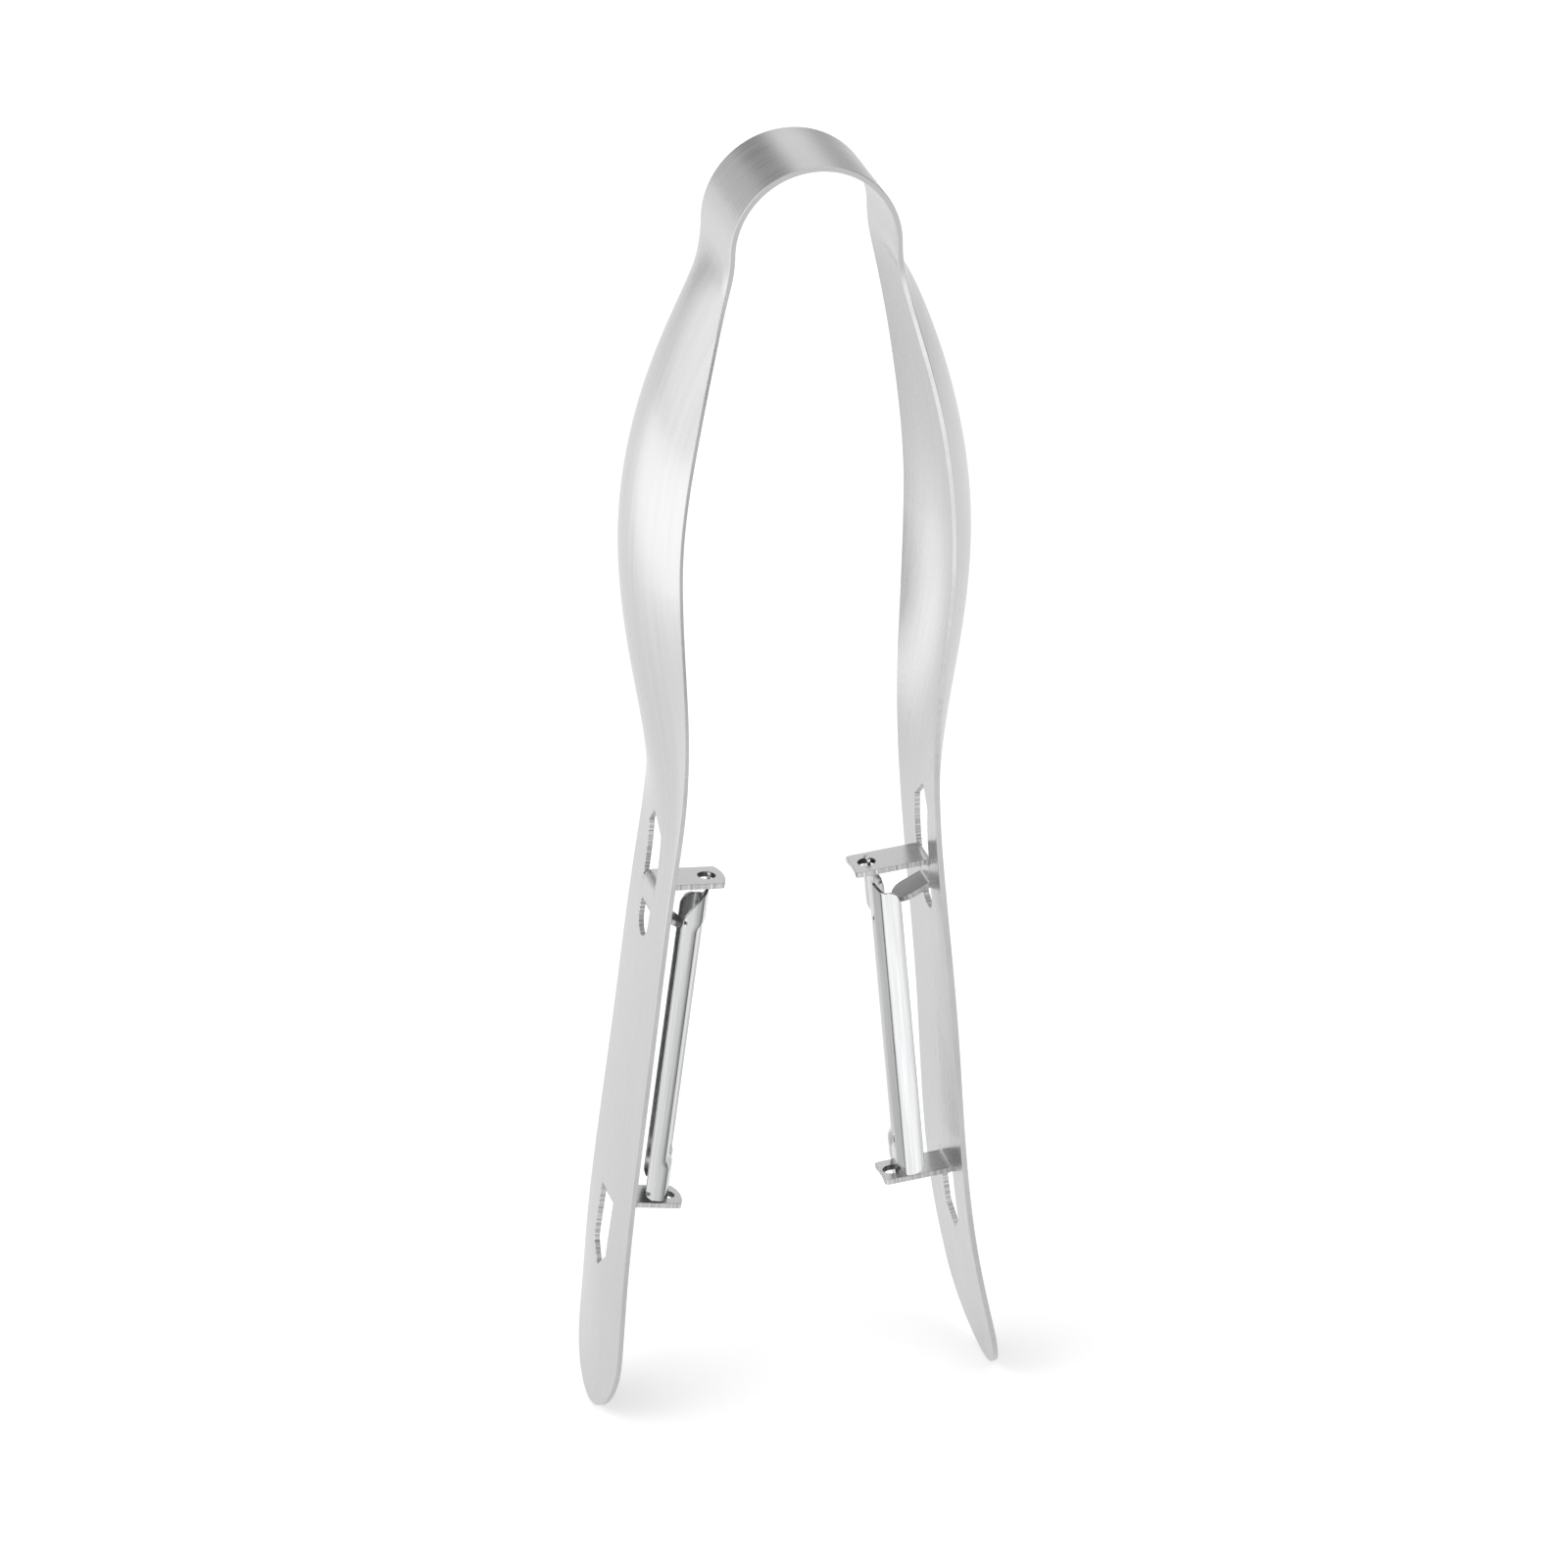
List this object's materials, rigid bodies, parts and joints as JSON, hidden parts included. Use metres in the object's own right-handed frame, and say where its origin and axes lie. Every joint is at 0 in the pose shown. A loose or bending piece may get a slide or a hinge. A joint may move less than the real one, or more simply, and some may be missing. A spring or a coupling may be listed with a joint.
{
  "type": "spring peeling tongs",
  "caption": "Spring steel tongs bent from one strip, with a swivelling channel peeling blade between two bent lugs on each arm.",
  "frame": {"origin": "under the middle of the two tips, at their level, with the bow above", "axes": "+Z from the tips to the bow, +X from the left arm to the right arm, +Y across the strip"},
  "size_m": [0.0664, 0.0292, 0.2098],
  "materials": {
    "strip_steel": "satin, brushed along the strip",
    "blade_steel": "bright rolled stainless with fine drawing lines"
  },
  "bodies": {
    "bow": {"spring_bow": "strip_steel"},
    "left_arm": {"left_arm": "strip_steel"},
    "right_arm": {"right_arm": "strip_steel"},
    "left_blade": {"left_blade": "blade_steel"},
    "right_blade": {"right_blade": "blade_steel"}
  },
  "joints": [
    {"name": "right_arm_flex", "type": "hinge", "parent": "bow", "child": "right_arm", "pos_m": [0.01144, 0, 0.19619], "axis": [0, 1, 0], "range_deg": [0, 5], "stiffness_Nm_per_rad": 6},
    {"name": "left_arm_flex", "type": "hinge", "parent": "bow", "child": "left_arm", "pos_m": [-0.01116, 0, 0.19619], "axis": [0, -1, 0], "range_deg": [0, 5], "stiffness_Nm_per_rad": 6},
    {"name": "right_blade_swivel", "type": "hinge", "parent": "right_arm", "child": "right_blade", "pos_m": [0.01413, 0, 0.06213], "axis": [-0.0883, 0, 0.9961], "range_deg": [-22, 14]},
    {"name": "left_blade_swivel", "type": "hinge", "parent": "left_arm", "child": "left_blade", "pos_m": [-0.01749, 0, 0.06215], "axis": [0.117, 0, 0.9931], "range_deg": [-6, 30]}
  ],
  "couplings": [
    {"joint": "left_arm_flex", "follows": "right_arm_flex", "ratio": 1}
  ]
}
